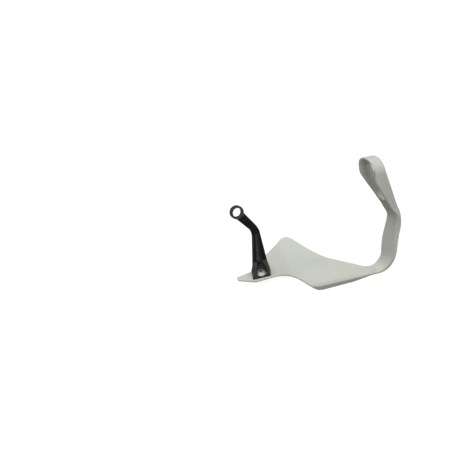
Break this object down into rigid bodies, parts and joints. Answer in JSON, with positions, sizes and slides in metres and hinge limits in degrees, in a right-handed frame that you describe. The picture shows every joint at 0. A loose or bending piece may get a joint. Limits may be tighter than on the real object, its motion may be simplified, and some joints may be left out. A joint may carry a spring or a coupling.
{
  "type": "motorcycle hand guard",
  "caption": "Light grey moulded motorcycle hand guard with a bar-end loop, carried by a black cast bracket arm with a mirror-stem ring.",
  "frame": {"origin": "on the floor under the middle of the guard's box, with the guard lying on the front face of its shield", "axes": "+X outboard along the handlebar, towards the bar-end loop; +Y up on the motorcycle, towards the shield's peak; +Z back towards the rider"},
  "size_m": [0.2084, 0.1174, 0.1834],
  "materials": {
    "shell_plastic": "satin moulded plastic, light warm grey",
    "arm_black": "black satin coat on a casting",
    "fastener_steel": "bright zinc plate"
  },
  "bodies": {
    "root": {"guard_shell": "shell_plastic", "bracket_arm": "arm_black", "flange_screw": "fastener_steel", "hex_nut": "fastener_steel"}
  },
  "joints": []
}
